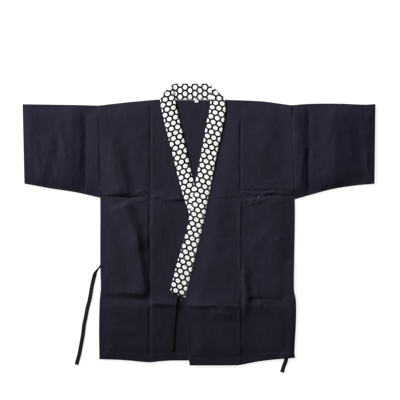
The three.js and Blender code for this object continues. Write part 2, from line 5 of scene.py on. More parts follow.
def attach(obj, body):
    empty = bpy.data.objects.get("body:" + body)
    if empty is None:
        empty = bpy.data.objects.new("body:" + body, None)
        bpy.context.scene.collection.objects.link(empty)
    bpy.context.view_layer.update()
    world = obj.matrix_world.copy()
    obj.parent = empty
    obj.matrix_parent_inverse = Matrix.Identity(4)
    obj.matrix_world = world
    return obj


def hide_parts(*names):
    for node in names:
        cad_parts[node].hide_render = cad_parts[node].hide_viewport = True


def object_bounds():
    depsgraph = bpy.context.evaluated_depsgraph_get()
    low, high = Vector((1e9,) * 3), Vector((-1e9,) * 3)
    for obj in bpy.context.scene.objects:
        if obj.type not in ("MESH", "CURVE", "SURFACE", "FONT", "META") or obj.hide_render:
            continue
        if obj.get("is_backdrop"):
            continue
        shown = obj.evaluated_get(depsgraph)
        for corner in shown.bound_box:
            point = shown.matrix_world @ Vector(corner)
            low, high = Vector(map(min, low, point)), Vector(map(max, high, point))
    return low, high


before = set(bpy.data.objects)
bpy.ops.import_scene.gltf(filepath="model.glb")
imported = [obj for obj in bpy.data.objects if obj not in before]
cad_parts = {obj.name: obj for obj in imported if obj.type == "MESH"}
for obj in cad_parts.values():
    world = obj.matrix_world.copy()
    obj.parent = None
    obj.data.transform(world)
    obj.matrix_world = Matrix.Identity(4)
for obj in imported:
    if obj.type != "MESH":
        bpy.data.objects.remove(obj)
cad_low, cad_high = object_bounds()

# Camera. The jacket was photographed from straight above, with the collar at the top of the picture,
# and the picture is 1.148 m wide at the height of the cloth.
mm_per_pixel = 2.87
picture_width = 0.4 * mm_per_pixel
picture_middle = (0.0029, 0.0702)
camera_height, cloth_height = 3.0, 0.004
film_width = 36
camera_data = bpy.data.cameras.new("camera")
camera_data.sensor_width = film_width
camera_data.lens = film_width * (camera_height - cloth_height) / picture_width
camera = bpy.data.objects.new("camera", camera_data)
camera.location = (*picture_middle, camera_height)
bpy.context.scene.collection.objects.link(camera)
bpy.context.scene.camera = camera

# Ties. Each is a flat black woven cotton tape, 12 mm wide, caught in a seam at one end and cut off at
# the other. A row is one place of the tape's middle in metres, and where they aren't 0 and 1, the degrees
# that it is turned on edge and the share of its width that it is pinched to.
tape_width = 0.0118
tape_thickness = 0.001
tape_crown, rib_spacing = 0.0003, 0.0012
side_tie_route = [
    (-0.2822, -0.1172, 0.0026, -20, 0.45),
    (-0.2868, -0.1238, 0.0030, -26, 0.45),
    (-0.2918, -0.1304, 0.0032, -28, 0.55),
    (-0.2966, -0.1376, 0.0030, -18, 0.8),
    (-0.2998, -0.1462, 0.0022, -8, 1),
    (-0.3032, -0.1590, 0.0010),
    (-0.3078, -0.1790, 0.0007),
    (-0.3135, -0.2130, 0.0007),
    (-0.3200, -0.2385, 0.0007),
    (-0.3255, -0.2670, 0.0007),
    (-0.3300, -0.2885, 0.0007),
    (-0.3326, -0.3100, 0.0007),
    (-0.3360, -0.3316, 0.0007),
    (-0.3398, -0.3530, 0.0007),
    (-0.3444, -0.3747, 0.0007),
    (-0.3500, -0.3960, 0.0007),
    (-0.3520, -0.4030, 0.0007),
]
band_tie_route = [
    (-0.0646, -0.2050, 0.0033),
    (-0.0660, -0.2120, 0.0037),
    (-0.0676, -0.2210, 0.0060),
    (-0.0686, -0.2300, 0.0073),
    (-0.0694, -0.2400, 0.0052, -3, 1),
    (-0.0700, -0.2520, 0.0047, -7, 1),
    (-0.0706, -0.2660, 0.0048, -8, 1),
    (-0.0714, -0.2790, 0.0048, -8, 0.8),
    (-0.0738, -0.2920, 0.0049, -8, 1),
    (-0.0750, -0.3060, 0.0049, -8, 1),
    (-0.0760, -0.3200, 0.0050, -8, 1),
    (-0.0768, -0.3360, 0.0050, -7, 1),
    (-0.0774, -0.3520, 0.0050, -5, 1),
    (-0.0778, -0.3640, 0.0049, -4, 1),
]
inner_tie_route = [
    (0.2665, -0.1200, 0.0021),
    (0.2650, -0.1600, 0.0021),
    (0.2635, -0.2100, 0.0021),
    (0.2610, -0.2700, 0.0021),
    (0.2565, -0.3300, 0.0021),
    (0.2520, -0.3720, 0.0021),
    (0.2495, -0.3910, 0.0021),
    (0.2445, -0.4040, 0.0012),
    (0.2385, -0.4250, 0.0007),
]


def new_node(tree, kind, inputs=None, **settings):
    node = tree.nodes.new(kind)
    for name, value in settings.items():
        setattr(node, name, value)
    for name, value in (inputs or {}).items():
        if isinstance(value, bpy.types.NodeSocket):
            tree.links.new(value, node.inputs[name])
        else:
            node.inputs[name].default_value = value
    return node


def calc(tree, operation, a, b=0.0, c=0.0):
    return new_node(tree, "ShaderNodeMath", {0: a, 1: b, 2: c}, operation=operation).outputs[0]


def ranged(tree, value, low, high, new_low=0.0, new_high=1.0, **settings):
    """The value, with low to high spread over new_low to new_high."""
    inputs = {"Value": value, "From Min": low, "From Max": high, "To Min": new_low, "To Max": new_high}
    return new_node(tree, "ShaderNodeMapRange", inputs, **settings).outputs[0]


def blend(tree, share, a, b, **settings):
    """Colour a, with a share of colour b."""
    inputs = {"Factor": share, "A": a, "B": b}
    return new_node(tree, "ShaderNodeMix", inputs, data_type="RGBA", **settings).outputs[2]


def new_group(name, inputs, outputs):
    """An empty node group with named sockets, and the ends of its inside."""
    group = bpy.data.node_groups.new(name, "ShaderNodeTree")
    for socket, kind, value in inputs:
        made = group.interface.new_socket(socket, in_out="INPUT", socket_type=kind)
        if value is not None:
            made.default_value = value
    for socket, kind in outputs:
        group.interface.new_socket(socket, in_out="OUTPUT", socket_type=kind)
    return group, group.nodes.new("NodeGroupInput"), group.nodes.new("NodeGroupOutput")


# Warp and weft go over and under each other, and no thread is even along its length.
weave_group, given, found = new_group(
    "plain weave",
    [("Vector", "NodeSocketVector", None), ("Threads", "NodeSocketFloat", 2000.0)],
    [("Height", "NodeSocketFloat"), ("Tone", "NodeSocketFloat")],
)
split = new_node(weave_group, "ShaderNodeSeparateXYZ", {0: given.outputs["Vector"]})
turns = calc(weave_group, "MULTIPLY", given.outputs["Threads"], math.pi)
over = calc(weave_group, "SINE", calc(weave_group, "MULTIPLY", split.outputs[0], turns))
under = calc(weave_group, "SINE", calc(weave_group, "MULTIPLY", split.outputs[1], turns))
height = calc(weave_group, "MULTIPLY_ADD", calc(weave_group, "MULTIPLY", over, under), 0.5, 0.5)
slubs = []
for stretch in ((30.0, 1300.0, 1.0), (1300.0, 30.0, 1.0)):
    stretched = new_node(
        weave_group, "ShaderNodeVectorMath", {0: given.outputs["Vector"], 1: stretch}, operation="MULTIPLY"
    )
    slub = {"Vector": stretched.outputs[0], "Scale": 1.0, "Detail": 1.0}
    slubs.append(new_node(weave_group, "ShaderNodeTexNoise", slub).outputs[0])
tone = calc(weave_group, "ADD", slubs[0], slubs[1])
weave_group.links.new(height, found.inputs["Height"])
weave_group.links.new(tone, found.inputs["Tone"])


def weave_on(tree, place, threads):
    """The weave in a material, with its number of threads a metre."""
    return new_node(tree, "ShaderNodeGroup", {"Vector": place, "Threads": threads}, node_tree=weave_group)


def new_material(name, roughness, sheen):
    material = bpy.data.materials.new(name)
    material.use_nodes = True
    tree = material.node_tree
    tree.nodes.clear()
    surface = new_node(tree, "ShaderNodeBsdfPrincipled")
    surface.inputs["Roughness"].default_value = roughness
    surface.inputs["Specular IOR Level"].default_value = 0.08
    surface.inputs["Sheen Weight"].default_value = sheen
    surface.inputs["Sheen Roughness"].default_value = 0.45
    out = new_node(tree, "ShaderNodeOutputMaterial")
    tree.links.new(surface.outputs[0], out.inputs["Surface"])
    return material, tree, surface


# The tape's two edges are woven tighter than its middle, which is a little paler and ribbed across.
tape_material, tree, surface = new_material("black tape", 0.85, 0.02)
tape_uv = new_node(tree, "ShaderNodeUVMap", uv_map="tape").outputs[0]
place = new_node(tree, "ShaderNodeSeparateXYZ", {0: tape_uv})
weave = weave_on(tree, tape_uv, 1500)
from_middle = calc(tree, "ABSOLUTE", calc(tree, "SUBTRACT", place.outputs[0], tape_width / 2))
middle = ranged(tree, from_middle, 0.0018, 0.0044, 1.0, 0.0)
ribs = calc(tree, "SINE", calc(tree, "MULTIPLY", place.outputs[1], 2 * math.pi / rib_spacing))
middle_tone = calc(tree, "MULTIPLY", middle, calc(tree, "MULTIPLY_ADD", ribs, 0.18, 0.82))
tape_color = blend(tree, middle_tone, (0.0025, 0.0025, 0.0024, 1), (0.0112, 0.0112, 0.0114, 1))
tape_shade = blend(tree, 0.5, tape_color, weave.outputs["Tone"], blend_type="MULTIPLY")
tree.links.new(tape_shade, surface.inputs["Base Color"])
tape_relief = calc(tree, "MULTIPLY_ADD", ribs, 0.4, weave.outputs["Height"])
bump = new_node(tree, "ShaderNodeBump", {"Height": tape_relief, "Strength": 0.5, "Distance": 0.0002})
tree.links.new(bump.outputs[0], surface.inputs["Normal"])


def finish_cloth(name, mesh, thickness, material, node):
    """Makes the piece from its upper face, with its thickness below that, and puts it in its node's place."""
    for face in mesh.faces:
        face.smooth = True
    data = bpy.data.meshes.new(name)
    mesh.to_mesh(data)
    mesh.free()
    data.materials.append(material)
    piece = bpy.data.objects.new(name, data)
    bpy.context.scene.collection.objects.link(piece)
    if thickness:
        wall = piece.modifiers.new("wall", "SOLIDIFY")
        wall.thickness = thickness
        wall.offset = -1
    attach(piece, "root")
    if node:
        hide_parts(node)
    return piece


def write_uvs(mesh, layer, uvs):
    for face in mesh.faces:
        for loop in face.loops:
            loop[layer].uv = uvs[loop.vert.index]


def make_tie(name, route, node):
    """Sweeps the tape along its route. Its middle stands a little proud of its two edges."""
    route = [(*row, 0, 1)[:5] for row in route]
    points = [Vector(row[:3]) for row in route]
    last, steps = len(points) - 1, 5
    path, turned, pinched = [], [], []
    for i in range(last):
        for k in range(steps):
            t = k / steps
            a = (points[i + 1] - points[max(i - 1, 0)]) / 2
            b = (points[min(i + 2, last)] - points[i]) / 2
            path.append(
                points[i] * (1 + 2 * t) * (1 - t) ** 2 + a * t * (1 - t) ** 2
                + points[i + 1] * t * t * (3 - 2 * t) + b * t * t * (t - 1)
            )
            turned.append(route[i][3] * (1 - t) + route[i + 1][3] * t)
            pinched.append(route[i][4] * (1 - t) + route[i + 1][4] * t)
    path.append(points[-1])
    turned.append(route[-1][3])
    pinched.append(route[-1][4])
    length = [0.0]
    for i in range(1, len(path)):
        length.append(length[-1] + (path[i] - path[i - 1]).length)
    mesh = bmesh.new()
    bmesh.ops.create_grid(mesh, x_segments=12, y_segments=len(path) - 1, size=0.5)
    uv_layer = mesh.loops.layers.uv.new("tape")
    mesh.verts.ensure_lookup_table()
    uvs = {}
    for vert in mesh.verts:
        share = vert.co.x + 0.5
        i = round((vert.co.y + 0.5) * (len(path) - 1))
        forward = (path[min(i + 1, len(path) - 1)] - path[max(i - 1, 0)]).normalized()
        side = Vector((forward.y, -forward.x, 0)).normalized()
        side = Matrix.Rotation(math.radians(turned[i]), 3, forward) @ side
        up = side.cross(forward)
        half = tape_width / 2 * pinched[i]
        crown = tape_crown * (1 - (2 * share - 1) ** 2)
        waver = 0.0003 * noise.noise(path[i] * 70)
        frayed = 0.0008 * noise.noise(Vector((share * 7, i, 0))) if i == len(path) - 1 else 0
        offset = side * (half * (2 * share - 1) + waver) + up * (tape_thickness / 2 + crown)
        vert.co = path[i] + offset + forward * frayed
        uvs[vert.index] = (share * tape_width, length[i])
    write_uvs(mesh, uv_layer, uvs)
    piece = finish_cloth(name, mesh, tape_thickness, tape_material, node)


make_tie("tie_at_right_side_seam", side_tie_route, "tie_side_right")
make_tie("tie_at_band_end", band_tie_route, "tie_band_left")
make_tie("tie_inside_left_side_seam", inner_tie_route, "tie_side_left")

# Table and light. The table is plain white, and one wide soft lamp stands past the collar, to the left of
# the picture, so that the folds show. The room is evenly white.
table_reach, table_level = 6, -0.0004
mesh = bmesh.new()
bmesh.ops.create_grid(mesh, x_segments=1, y_segments=1, size=table_reach)
bmesh.ops.translate(mesh, verts=mesh.verts[:], vec=(0, 0, table_level))
table_data = bpy.data.meshes.new("table")
mesh.to_mesh(table_data)
mesh.free()
table = bpy.data.objects.new("table", table_data)
bpy.context.scene.collection.objects.link(table)
table_material, tree, surface = new_material("white table", 0.9, 0)
surface.inputs["Base Color"].default_value = (0.2, 0.2, 0.2, 1)
surface.inputs["Emission Color"].default_value = (1, 1, 1, 1)
surface.inputs["Emission Strength"].default_value = 0.85
table_data.materials.append(table_material)
table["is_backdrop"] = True

lamp_data = bpy.data.lights.new("lamp", "AREA")
lamp_data.shape = "DISK"
lamp_data.size = 1.9
lamp_data.spread = math.radians(52)
lamp_data.energy = 92
lamp_aim = Vector((0.25, 0.42, 0))
lamp = bpy.data.objects.new("lamp", lamp_data)
lamp.location = (-3.4, 2.55, 1.3)
lamp.rotation_euler = (lamp_aim - lamp.location).to_track_quat("-Z", "Y").to_euler()
bpy.context.scene.collection.objects.link(lamp)
world = bpy.data.worlds.new("room")
world.use_nodes = True
background = world.node_tree.nodes["Background"]
background.inputs["Color"].default_value = (1, 1, 1, 1)
background.inputs["Strength"].default_value = 0.25
bpy.context.scene.world = world
bpy.context.scene.view_settings.view_transform = "Standard"

# Back. One plain panel of navy plain-weave cloth, sewn to both fronts at the sides and shoulders, and
# turned up at the hem. It lies flat on the table under everything else. Tables are in millimetres.
cloth = 1.2
gap = 0.3
front_cloth, sleeve_cloth = 0.0009, 0.0008
loft, loft_margin, fold_margin = 3.2, 50, 24
hem_depth, hem_rise = 22, 0.5
roll, back_inset = 2.2, 1.8
right_crease, left_crease = -141.5, 118
right_side = [
    (-387, -286.5), (-300, -287.5), (-217, -285.5), (-185, -282.5), (-105, -284), (76, -284), (342, -288),
]
left_side = [
    (-383, 276.5), (-368, 274.5), (-275, 279), (-217, 278.5), (-190, 273.5), (-130, 273.5), (72, 275.5),
    (343, 264),
]
right_shoulder = [(-288, 342), (-198, 352), (-109, 360)]
left_shoulder = [(75, 358.5), (181, 354), (235, 347), (264, 343)]
back_hem = [(-286.5, -385), (-141, -394), (-28, -389), (120, -401), (204, -387.5), (276.5, -381.5)]
neckline, right_neck, left_neck = 357.4, -109, 75
shoulder_row, chest_row, waist_row, hem_row = 350, 74, -228, -392
underarm, band_end = 76, -195

# The pack's folds leave sharp creases. A row is a line's two ends, how far it stands up (or down), and its
# reach on the side of -X or -Y, and on the side of +X or +Y.
creases = [
    (-140, 352, -141, 96, -1, 5, 10),
    (-142, 90, -142, -200, -1.7, 7, 13),
    (-142, -200, -142, -396, -2, 7, 11),
    (-286, 79, -236, 82, -1.3, 12, 5),
    (-244, 83, -194, 77, -1.5, 14, 5),
    (-200, 78, -148, 81, -1.4, 12, 5),
    (-134, 78, -24, 70, 2.2, 10, 28),
    (-268, -212, -148, -215, -6.5, 26, 19),
    (-140, -228, -40, -230, 3.8, 14, 40),
    (119, 300, 118, 96, -1.1, 5, 10),
    (118, 66, 117, -224, 1, 12, 5),
    (117, -240, 117, -402, 1.2, 12, 5),
    (20, 73, 105, 74, -1.2, 12, 5),
    (118, 99, 166, 97, -1.6, 9, 4.5),
    (172, 96, 226, 100, -1.2, 8, 4.5),
    (220, 98, 276, 93, -1.8, 9, 4.5),
    (122, 87, 170, 79, -1.9, 12, 5),
    (164, 83, 214, 86, -2.1, 13, 5),
    (208, 86, 276, 79, -2.5, 15, 5),
    (-36, -230, 117, -234, 3.8, 13, 40),
    (146, -214, 278, -213, -2.8, 24, 8),
    (-325.5, 345, -326, 85, -4, 22, 42),
    (314.5, 350, 314.5, 195, -1.8, 16, 20),
    (313, 215, 314.5, 76, -3.2, 9, 18),
]
# Soft folds and swells, with the same columns, and then the shares of its length over which each fades at
# its two ends. They fade out towards the edges of a piece too.
folds = [
    (-254, 250, -228, 86, 4.2, 60, 36, 0.9, 0.12),
    (-226, 190, -204, 86, 3, 50, 25, 0.7, 0.12),
    (-214, 60, -168, -66, 5.2, 56, 30, 0.14, 0.3),
    (-180, -26, -154, -196, 4.2, 44, 18, 0.5, 0.4),
    (-364, 360, -366, 70, 2.6, 52, 38, 0.3, 0.3),
    (-416, 262, -460, 102, 2, 40, 24, 0.5, 0.5),
    (-384, 250, -386, 110, 1, 30, 26, 0.5, 0.5),
    (278, 360, 284, 66, 2.2, 45, 36, 0.3, 0.3),
    (392, 360, 388, 90, 4.6, 60, 90, 0.4, 0.4),
    (130, -118, 132, -256, 2.6, 14, 26, 0.5, 0.4),
    (-60, -238, 130, -242, 2, 46, 16, 0.2, 0.2),
    (-54, -226, -50, -350, -1.6, 14, 12, 0.4, 0.4),
    (225, 10, 150, -70, 1.4, 30, 30, 0.5, 0.5),
    (-232, -192, -158, -196, 2.2, 17, 24, 0.4, 0.4),
    (50, -288, 116, -358, 1.6, 24, 24, 0.5, 0.5),
    (-252, -300, -180, -312, 1.4, 20, 20, 0.5, 0.5),
    (204, 320, 176, 130, 1.6, 60, 60, 0.5, 0.5),
    (-226, 330, -164, 250, 1.2, 40, 40, 0.5, 0.5),
]
# Small wrinkles: a line's two ends, how far it stands up, and its reach on both sides
wrinkles = [
    (-266, 90, -236, 86, 0.8, 3.5),
    (-224, 71, -200, 69, 0.8, 3.5),
    (-206, 90, -180, 84, 0.9, 3.5),
    (-180, 92, -156, 99, 0.8, 3.5),
    (-176, 64, -154, 71, 0.8, 3.5),
    (158, 98, 170, 110, 1.1, 3.5),
    (172, 110, 184, 98, 1, 3.5),
    (192, 88, 148, 68, 1.2, 4),
    (143, 57, 176, 64, 1.1, 4),
    (194, 121, 224, 122, 0.7, 3.5),
    (146, 64, 190, 72, 1.2, 4.5),
    (206, 60, 240, 66, 0.7, 5),
    (236, 98, 272, 90, 0.9, 4),
    (190, 92, 226, 96, 0.8, 3.5),
    (130, 66, 158, 70, 0.8, 4),
    (196, -30, 226, -66, 0.9, 7),
    (206, -52, 240, -34, 0.8, 6),
    (-276, -150, -262, -200, 1.1, 5),
    (-268, -130, -250, -142, 0.9, 5),
    (-250, -282, -226, -278, 0.9, 5),
    (-272, -350, -226, -362, 0.9, 5),
    (-268, -366, -240, -372, 0.8, 4),
    (126, -135, 142, -215, 1, 8),
    (36, -252, 92, -262, 1, 10),
    (-112, 66, -46, 76, 1, 7),
    (-100, 52, -60, 44, 0.7, 7),
    (-132, -300, -110, -330, 0.7, 7),
    (-468, 250, -462, 170, 0.9, 7),
    (-400, 300, -384, 190, 0.9, 8),
    (-420, 220, -404, 140, 0.8, 7),
    (425, 280, 440, 190, 1, 11),
    (470, 300, 482, 160, 0.9, 8),
    (390, 330, 372, 250, 0.7, 8),
    (300, 200, 292, 120, 0.8, 6),
    (-344, 330, -338, 250, 0.4, 7),
    (-336, 240, -343, 150, 0.5, 6),
    (284, 300, 300, 230, 0.4, 6),
    (302, 220, 290, 130, 0.4, 6),
    (160, -150, 176, -236, 0.8, 7),
    (190, -236, 240, -262, 0.8, 7),
    (60, -246, 110, -270, 1, 7),
    (-210, -196, -156, -203, 1, 5),
]


def mix(a, b, t):
    return a + (b - a) * t


def smooth(t):
    t = min(1.0, max(0.0, t))
    return t * t * (3 - 2 * t)


def along(table, at):
    """A smooth curve through a table of pairs: the second number where the first one is at."""
    last = len(table) - 1
    i = 0
    while i < last - 1 and at > table[i + 1][0]:
        i += 1

    def slope(j):
        a, b = table[max(j - 1, 0)], table[min(j + 1, last)]
        return (b[1] - a[1]) / (b[0] - a[0])

    (x0, y0), (x1, y1) = table[i], table[i + 1]
    span = x1 - x0
    t = (at - x0) / span
    if t < 0:
        return y0 + t * span * slope(i)
    if t > 1:
        return y1 + (t - 1) * span * slope(i + 1)
    return (
        (1 + 2 * t) * (1 - t) ** 2 * y0 + t * (1 - t) ** 2 * span * slope(i)
        + t * t * (3 - 2 * t) * y1 + t * t * (t - 1) * span * slope(i + 1)
    )


def fold_at(x1, y1, x2, y2, x, y, first=0.12, last=0.12):
    """How far a place is from a fold's line, positive towards +X or +Y, and how strong the fold is there.

    It fades out over the shares first and last of its length at its two ends."""
    dx, dy = x2 - x1, y2 - y1
    length = math.hypot(dx, dy)
    dx, dy = dx / length, dy / length
    t = ((x - x1) * dx + (y - y1) * dy) / length
    if t < -first / 2 or t > 1 + last / 2:
        return 0, 0
    side = math.copysign(1, -dy) if abs(dy) > abs(dx) else math.copysign(1, dx)
    return side * (dx * (y - y1) - dy * (x - x1)), smooth(t / first + 0.5) * smooth((1 - t) / last + 0.5)


def lines_near(table, margin, x, y):
    """The rows of a table of lines that pass within the margin of a place."""
    return [
        row for row in table
        if min(row[0], row[2]) - margin < x < max(row[0], row[2]) + margin
        and min(row[1], row[3]) - margin < y < max(row[1], row[3]) + margin
    ]


def drape(x, y, inward):
    """How far the air and the folds hold the cloth above what it lies on, and how strongly the paler line
    along a crease, partly pressed wear and partly painted highlight, is laid on there.

    It is calm under the tie on the band's end, so that the tie lies flat."""
    height = loft * smooth(inward / loft_margin)
    fade = smooth(inward / fold_margin)
    for x1, y1, x2, y2, rise, minus, plus, first, last in lines_near(folds, 95, x, y):
        distance, strength = fold_at(x1, y1, x2, y2, x, y, first, last)
        off = min(1, abs(distance) / (plus if distance > 0 else minus))
        form = 0.25 + 0.25 * math.cos(math.pi * off) + 0.5 * (1 - off) ** 1.3
        height += rise * strength * fade * form
    calm = smooth((abs(x + 72) - 12) / 14) if y < band_end else 1
    for x1, y1, x2, y2, rise, reach in lines_near(wrinkles, 40, x, y):
        distance, strength = fold_at(x1, y1, x2, y2, x, y)
        height += rise * strength * math.exp(-((distance / reach) ** 2)) * smooth(inward / 12) * calm
    place = Vector((x, y, 0))
    crumple = 1.3 * noise.noise(place / 85) + 0.45 * noise.noise(place / 27) + 0.14 * noise.noise(place / 11)
    height += crumple * smooth(inward / 30) * calm
    deepest = -0.85 * max(0, height)
    wear_and_highlight = 0
    for x1, y1, x2, y2, rise, minus, plus in lines_near(creases, 45, x, y):
        distance, strength = fold_at(x1, y1, x2, y2, x, y)
        uneven = 0.95 + 0.9 * noise.noise(Vector((x + 3 * y, 3 * x - y, 0)) / 150)
        distance += 1.3 * noise.noise(Vector((x, y, 40)) / 15)
        reach = plus if distance > 0 else minus
        height += max(deepest, strength * uneven * rise) * max(0, 1 - abs(distance) / reach) ** 1.6
        # Paler line along each crease: partly pressed wear, partly painted highlight standing in for the
        # light on the crease.
        wear_and_highlight = max(wear_and_highlight, strength * max(0, 1 - abs(distance) / 3))
    return 0.5 * (height + math.sqrt(height * height + 0.4)) - 0.3, wear_and_highlight


def spread_shares(count, first_fine=False, last_fine=False):
    """Shares from 0 to 1, evenly apart, or closer together near an end that has a crease."""
    shares = []
    for i in range(count + 1):
        t = i / count
        if first_fine and last_fine:
            t = 0.7 * t + 0.3 * smooth(t)
        elif first_fine:
            t = 0.55 * t + 0.45 * t * t
        elif last_fine:
            t = 1 - (0.55 * (1 - t) + 0.45 * (1 - t) ** 2)
        shares.append(t)
    return shares


# Rows of every body panel, from the hem to the shoulder, with rows on the two level creases
above_hem = hem_row + hem_depth + 2
body_rows = (
    [mix(hem_row, above_hem, s) for s in spread_shares(10)[:-1]]
    + [mix(above_hem, waist_row, s) for s in spread_shares(42, last_fine=True)[:-1]]
    + [mix(waist_row, chest_row, s) for s in spread_shares(92, True, True)[:-1]]
    + [mix(chest_row, shoulder_row - 4, s) for s in spread_shares(84, first_fine=True)[:-1]]
    + [shoulder_row - 4, shoulder_row - 2.5, shoulder_row - 1.5, shoulder_row - 0.7, shoulder_row]
)


def face_up(mesh):
    """Turns the faces of an open piece of cloth upwards."""
    bmesh.ops.recalc_face_normals(mesh, faces=mesh.faces[:])
    if sum(face.normal.z for face in mesh.faces) < 0:
        bmesh.ops.reverse_faces(mesh, faces=mesh.faces[:])


def panel(columns_at, shoulder, hem, height, rows):
    """A body panel from a grid. height gives a place's upper face in mm and the strength there of the paler
    crease line, partly pressed wear and partly painted highlight.
    """
    mesh = bmesh.new()
    columns = len(columns_at(0)) - 1
    bmesh.ops.create_grid(mesh, x_segments=columns, y_segments=len(rows) - 1, size=0.5)
    wear_and_highlight_layer = mesh.verts.layers.float.new("wear_and_highlight")

    def spread(x, y):
        if y > chest_row:
            return mix(chest_row, shoulder(x), (y - chest_row) / (shoulder_row - chest_row))
        if y < waist_row:
            return mix(waist_row, hem(x), (waist_row - y) / (waist_row - hem_row))
        return y

    cache = {}
    for vert in mesh.verts:
        column = round((vert.co.x + 0.5) * columns)
        row = round((vert.co.y + 0.5) * (len(rows) - 1))
        if row not in cache:
            cache[row] = columns_at(rows[row])
        y = spread(cache[row][column], rows[row])
        x = columns_at(y)[column]
        y = spread(x, rows[row])
        top, wear_and_highlight = height(x, y, rows[row])
        vert.co = (x / 1000, y / 1000, top / 1000)
        vert[wear_and_highlight_layer] = wear_and_highlight
    face_up(mesh)
    return mesh


def noise_on(tree, place, scale, detail):
    inputs = {"Vector": place, "Scale": scale, "Detail": detail}
    return new_node(tree, "ShaderNodeTexNoise", inputs).outputs[0]


def add_relief(tree, surface, place, weave, scale, depth):
    """Soft puckers, and the weave's threads on them."""
    puckers = {"Height": noise_on(tree, place, scale, 3.0), "Strength": 0.45, "Distance": depth}
    soft = new_node(tree, "ShaderNodeBump", puckers).outputs[0]
    relief = {"Height": weave.outputs["Height"], "Strength": 0.35, "Distance": 0.00015, "Normal": soft}
    tree.links.new(new_node(tree, "ShaderNodeBump", relief).outputs[0], surface.inputs["Normal"])


# Navy plain weave: two near tones in soft clouds, slubbed threads, and paler lines along the creases, partly
# pressed wear and partly painted highlight.
# Below the waist crease it is darkened with painted shade, and the sleeves are a little bluer.
navy_material, tree, surface = new_material("navy plain weave", 0.85, 0.03)
surface.inputs["Sheen Tint"].default_value = (0.5, 0.5, 0.75, 1)
flat_place = new_node(tree, "ShaderNodeTexCoord").outputs["Object"]
weave = weave_on(tree, flat_place, 1700)
cloud_share = ranged(tree, noise_on(tree, flat_place, 7.0, 3.0), 0.35, 0.65)
navy = blend(tree, cloud_share, (0.0083, 0.0078, 0.0152, 1), (0.0091, 0.0094, 0.0178, 1))
place = new_node(tree, "ShaderNodeSeparateXYZ", {0: flat_place})
sleeve_share = ranged(tree, calc(tree, "ABSOLUTE", place.outputs[0]), 0.275, 0.3)
navy = blend(tree, sleeve_share, navy, (0.0072, 0.0071, 0.0153, 1))
thread_tone = ranged(tree, weave.outputs["Tone"], 0.6, 1.4, 0.78, 1.22)
lengthwise = new_node(
    tree, "ShaderNodeVectorMath", {0: flat_place, 1: (240.0, 14.0, 1.0)}, operation="MULTIPLY"
).outputs[0]
streak_tone = ranged(tree, noise_on(tree, lengthwise, 1.0, 2.0), 0.25, 0.75, 0.82, 1.18)
# Painted shade: below the waist crease the cloth's colour is darkened to 0.78 of its tone.
painted_shade_below_waist = ranged(tree, place.outputs[1], -0.246, -0.226, 0.78, 1.0, interpolation_type="SMOOTHSTEP")
tone = calc(tree, "MULTIPLY", thread_tone, calc(tree, "MULTIPLY", streak_tone, painted_shade_below_waist))
navy_toned_and_shaded = new_node(tree, "ShaderNodeVectorMath", {0: navy, "Scale": tone}, operation="SCALE").outputs[0]
# Painted highlight with some pressed wear: along the creases the navy is mixed towards a paler navy.
wear_and_highlight = new_node(tree, "ShaderNodeAttribute", attribute_name="wear_and_highlight").outputs["Fac"]
wear_and_highlight_strength = calc(tree, "MULTIPLY_ADD", noise_on(tree, flat_place, 160.0, 2.0), 0.16, -0.04)
navy_with_wear_and_highlight = blend(tree, calc(tree, "MULTIPLY", wear_and_highlight, wear_and_highlight_strength), navy_toned_and_shaded, (0.022, 0.022, 0.036, 1))
tree.links.new(navy_with_wear_and_highlight, surface.inputs["Base Color"])
add_relief(tree, surface, flat_place, weave, 55.0, 0.0012)


def back_columns(y):
    right, left = along(right_side, y) + back_inset, along(left_side, y) - back_inset
    return (
        [mix(right, right_neck, s / 20) for s in range(20)]
        + [mix(right_neck, left_neck, s / 24) for s in range(24)]
        + [mix(left_neck, left, s / 20) for s in range(21)]
    )


def back_top_line(x):
    if x < right_neck - 1:
        return along(right_shoulder, x) - back_inset
    if x > left_neck + 1:
        return along(left_shoulder, x) - back_inset
    return neckline


def back_top(x, y, row):
    turned_up = 0.12
    return cloth + (turned_up if row < hem_row + hem_depth else 0), 0


mesh = panel(
    back_columns, back_top_line, lambda x: along(back_hem, x), back_top, body_rows[::4] + [shoulder_row]
)
back = finish_cloth("back_panel", mesh, cloth / 1000, navy_material, "back")

# Right front. One navy panel whose slanting edge is sewn to the collar band. It laps under the left front,
# and it is rolled over the back's edge at the side and shoulder seams.
right_hem = [(-286.5, -387), (-212, -390), (-141, -396), (-98, -391.5), (30, -391)]
right_front_edge = [
    (-391, 28), (-200, 28), (-116, 11), (-33, -11), (40, -31), (95, -49), (153, -64), (213, -78.5),
    (270, -93), (325, -106), (360, -112),
]
left_front_edge = [
    (-405, -27.5), (-346, -34), (-274, -37.5), (-205, -37.5), (-171, -30), (-114, -16), (-59, -2.5),
    (7, 13.5), (73, 25.5), (118, 35.5), (195, 50), (252, 63), (307, 74), (333, 76.3), (358.5, 75.5),
]
left_band_free = [
    (-195, -83), (-116, -64), (-61, -47.5), (-9, -33.5), (70, -19.5), (129, -9), (184, 2.5), (241, 13),
    (303, 24), (329, 30.5), (357, 33.5),
]


def covered_from(y):
    """Left of this line the right front shows. The left band covers it, and the left front below that."""
    tucked = 3
    band = along(left_band_free, max(y, band_end)) - tucked
    front = along(left_front_edge, y) - tucked
    return mix(front, band, smooth((y - band_end + 40) / 30))


def from_side(distance, y):
    """The armhole is no edge to the drape, as the cloth goes on into the sleeve there."""
    return distance + loft_margin * smooth((y - underarm) / 45)


def to_shoulder(seam, x, y):
    """The distance to the shoulder seam. It only counts near the seam."""
    return along(seam, x) - y if y > shoulder_row - 50 else 50


seam_low = 1.05


def rolled(top, edge_distance, low=seam_low):
    """A seamed edge rolls down over the edge of the panel below it."""
    return mix(low, top, math.sqrt(max(0, 1 - (1 - min(1, edge_distance / roll)) ** 2)))


